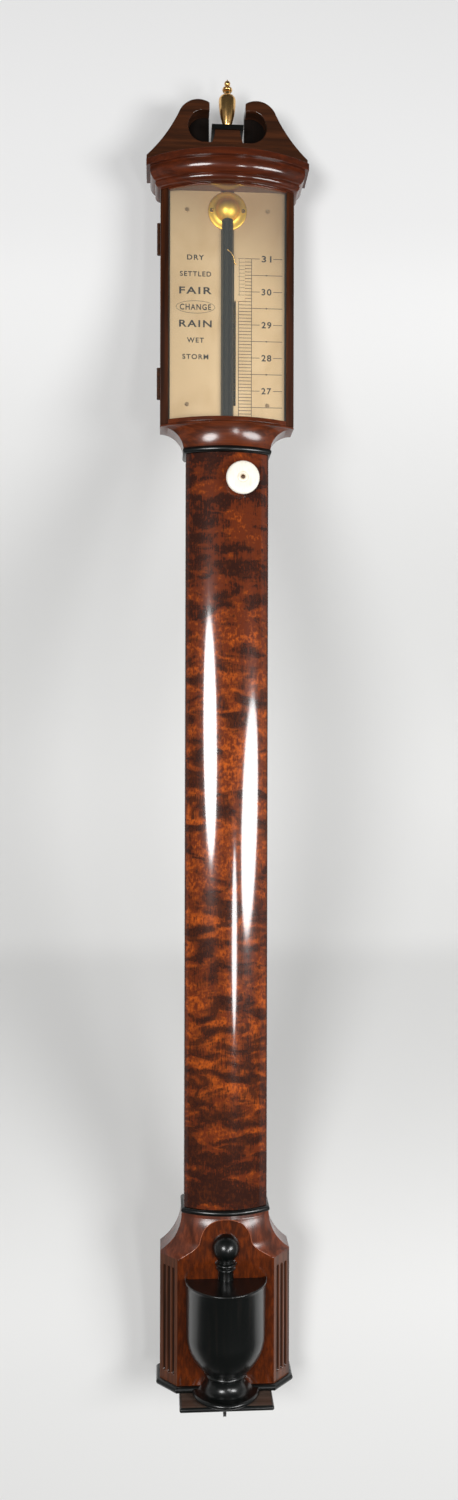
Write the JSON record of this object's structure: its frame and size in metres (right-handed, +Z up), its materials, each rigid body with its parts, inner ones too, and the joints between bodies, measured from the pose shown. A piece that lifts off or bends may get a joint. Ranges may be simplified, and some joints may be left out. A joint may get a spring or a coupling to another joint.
{
  "type": "stick barometer",
  "caption": "Bow-front mahogany stick barometer with swan-neck pediment, glazed register, vernier set by a knob, and an urn cistern cover; hangs on a wall.",
  "frame": {"origin": "centre of the hanging hole, on the back plane that lies against the wall", "axes": "+Z up along the tube, +Y towards the wall, +X to the right as seen from the front"},
  "size_m": [0.1244, 0.0639, 1.0292],
  "materials": {
    "mahogany": "french polished",
    "figured_mahogany": "french polished figured veneer",
    "panel_mahogany": "french polished",
    "ebonised_wood": "ebonised and polished",
    "brass": "lacquered",
    "silvered_brass": "silvered, toned by old lacquer",
    "tube_glass": "clear, dark bore",
    "door_glass": "clear, bent",
    "mercury": "liquid metal",
    "knob_ivory": "turned and polished",
    "boxwood": "turned",
    "leather": "soft",
    "steel": "bright",
    "dark_board": "dark stained"
  },
  "bodies": {
    "case": {"backboard": "dark_board", "register_board": "dark_board", "head_side_left": "mahogany", "head_side_right": "mahogany", "cornice": "mahogany", "pediment_front": "mahogany", "pediment_backing": "dark_board", "finial_plinth": "mahogany", "plinth_cap": "ebonised_wood", "finial": "brass", "head_base_moulding": "mahogany", "upper_bead": "ebonised_wood", "register_plate_left": "silvered_brass", "register_plate_right": "silvered_brass", "register_screws": "brass", "tube_dome": "brass", "dome_screws": "brass", "barometer_tube": "tube_glass", "mercury_column": "mercury", "hinge_case_leaves": "brass", "hinge_pins": "brass", "rack_keeper": "brass", "keeper_screws": "brass", "arbor_bush": "brass", "trunk_front": "figured_mahogany", "lower_bead": "ebonised_wood", "base_shoulder": "panel_mahogany", "base_side_left": "mahogany", "base_side_right": "mahogany", "base_front_panel": "panel_mahogany", "fluted_corner_left": "mahogany", "fluted_corner_right": "mahogany", "base_plinth_moulding": "ebonised_wood", "urn_shelf": "mahogany", "urn_bowl": "ebonised_wood", "urn_lid": "ebonised_wood", "urn_finial": "ebonised_wood", "urn_foot": "ebonised_wood", "cistern_body": "boxwood", "cistern_cap": "boxwood", "cistern_mercury": "mercury", "leather_bag": "leather", "screw_bush": "brass", "hanger_plate": "brass", "hanger_screws": "brass"},
    "door": {"door_stile_left": "mahogany", "door_stile_right": "mahogany", "door_top_rail": "mahogany", "door_bottom_rail": "mahogany", "door_glass": "door_glass", "hinge_door_leaves": "brass"},
    "setting_works": {"setting_knob": "knob_ivory", "knob_peg": "boxwood", "pinion_arbor": "brass", "pinion": "brass"},
    "vernier": {"vernier_plate": "silvered_brass", "vernier_pointer": "brass", "rack": "brass"},
    "lift_pad": {"screw_pad": "boxwood"},
    "portable_screw": {"portable_screw": "steel"}
  },
  "joints": [
    {"name": "door_hinge", "type": "hinge", "parent": "case", "child": "door", "pos_m": [-0.05236, -0.01315, -0.0662], "axis": [0, 0, -1], "range_deg": [0, 105]},
    {"name": "knob_turn", "type": "hinge", "parent": "case", "child": "setting_works", "pos_m": [0.011, -0.03, -0.1985], "axis": [0, 1, 0], "range_deg": [-1018.6, 0]},
    {"name": "vernier_slide", "type": "slide", "parent": "case", "child": "vernier", "axis": [0, 0, 1], "range_m": [-0.08, 0]},
    {"name": "pad_slide", "type": "slide", "parent": "case", "child": "lift_pad", "axis": [0, 0, 1], "range_m": [0, 0.006], "deforming": ["leather_bag"]},
    {"name": "screw_turn", "type": "hinge", "parent": "lift_pad", "child": "portable_screw", "pos_m": [0, -0.0225, -0.88], "axis": [0, 0, 1], "range_deg": [0, 1728.1]}
  ],
  "couplings": [
    {"joint": "knob_turn", "follows": "vernier_slide", "rad_per_m": 222.22},
    {"joint": "screw_turn", "follows": "pad_slide", "rad_per_m": 5026.5}
  ]
}
